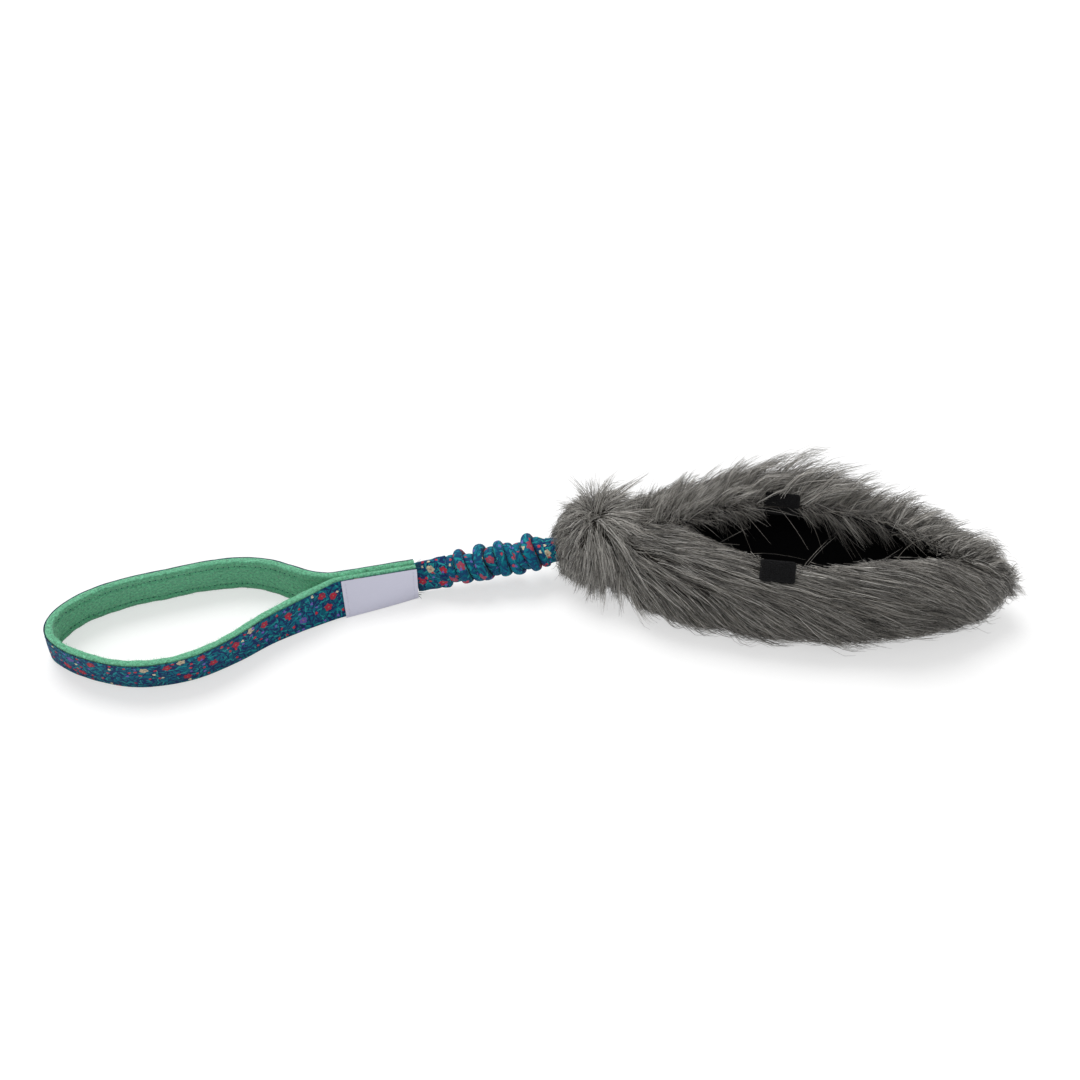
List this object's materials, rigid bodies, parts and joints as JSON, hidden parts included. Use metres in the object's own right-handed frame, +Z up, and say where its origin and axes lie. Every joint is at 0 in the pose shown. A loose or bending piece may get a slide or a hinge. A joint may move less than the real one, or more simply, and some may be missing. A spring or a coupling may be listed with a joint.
{
  "type": "bungee tug toy",
  "caption": "Dog tug toy: a fleece-lined fabric hand loop, a ruched stretch sleeve over an elastic cord, and a shaggy fur clam pouch with a lined mouth and closure tabs.",
  "frame": {"origin": "on the flat underside of the pouch, under the pouch's widest part", "axes": "+X along the pouch away from the hand loop, +Y to the rear side that the label doesn't face, +Z up, out of the pouch's mouth"},
  "size_m": [0.5608, 0.1834, 0.0575],
  "materials": {
    "webbing": "woven, matt",
    "print_cotton": "printed cotton, matt",
    "fleece": "brushed fleece",
    "satin": "satin",
    "elastic": "braided elastic",
    "fur": "shaggy faux fur",
    "lining": "plain cloth, matt",
    "tab": "hook and loop tape"
  },
  "bodies": {
    "pouch": {"fur_shell": "fur", "fur_neck_cuff": "fur", "lining_shell": "lining", "pouch_anchor": "webbing"},
    "front_side": {"fur_front_side": "fur", "lining_front_side": "lining", "front_closure_tab": "tab"},
    "back_side": {"fur_back_side": "fur", "lining_back_side": "lining", "back_closure_tab": "tab"},
    "bungee_pouch_end": {"sleeve_pouch_end": "print_cotton", "bungee_cord": "elastic"},
    "bungee_handle_end": {"sleeve_handle_end": "print_cotton"},
    "handle": {"handle_webbing": "webbing", "handle_print_cover": "print_cotton", "handle_fleece_lining": "fleece", "label": "satin"}
  },
  "joints": [
    {"name": "neck_lift", "type": "hinge", "parent": "pouch", "child": "bungee_pouch_end", "pos_m": [-0.1376, -0.0061, 0.022], "axis": [-0.3123, 0.95, 0], "range_deg": [-44, 44], "deforming": ["bungee_cord"]},
    {"name": "bungee_stretch", "type": "slide", "parent": "bungee_pouch_end", "child": "bungee_handle_end", "axis": [-0.9448, -0.3106, -0.1045], "range_m": [0, 0.06], "stiffness_N_per_m": 60, "deforming": ["bungee_cord"]},
    {"name": "handle_swing", "type": "hinge", "parent": "bungee_handle_end", "child": "handle", "pos_m": [-0.21932, -0.03297, 0.01296], "axis": [0, 0, 1], "range_deg": [-60, 60], "deforming": ["bungee_cord"]},
    {"name": "front_side_fold", "type": "hinge", "parent": "pouch", "child": "front_side", "pos_m": [0, -0.00061, 0.00496], "axis": [-1, 0, 0], "range_deg": [-12, 16], "stiffness_Nm_per_rad": 0.4},
    {"name": "back_side_fold", "type": "hinge", "parent": "pouch", "child": "back_side", "pos_m": [0, -0.00061, 0.00496], "axis": [1, 0, 0], "range_deg": [-12, 16], "stiffness_Nm_per_rad": 0.4}
  ]
}
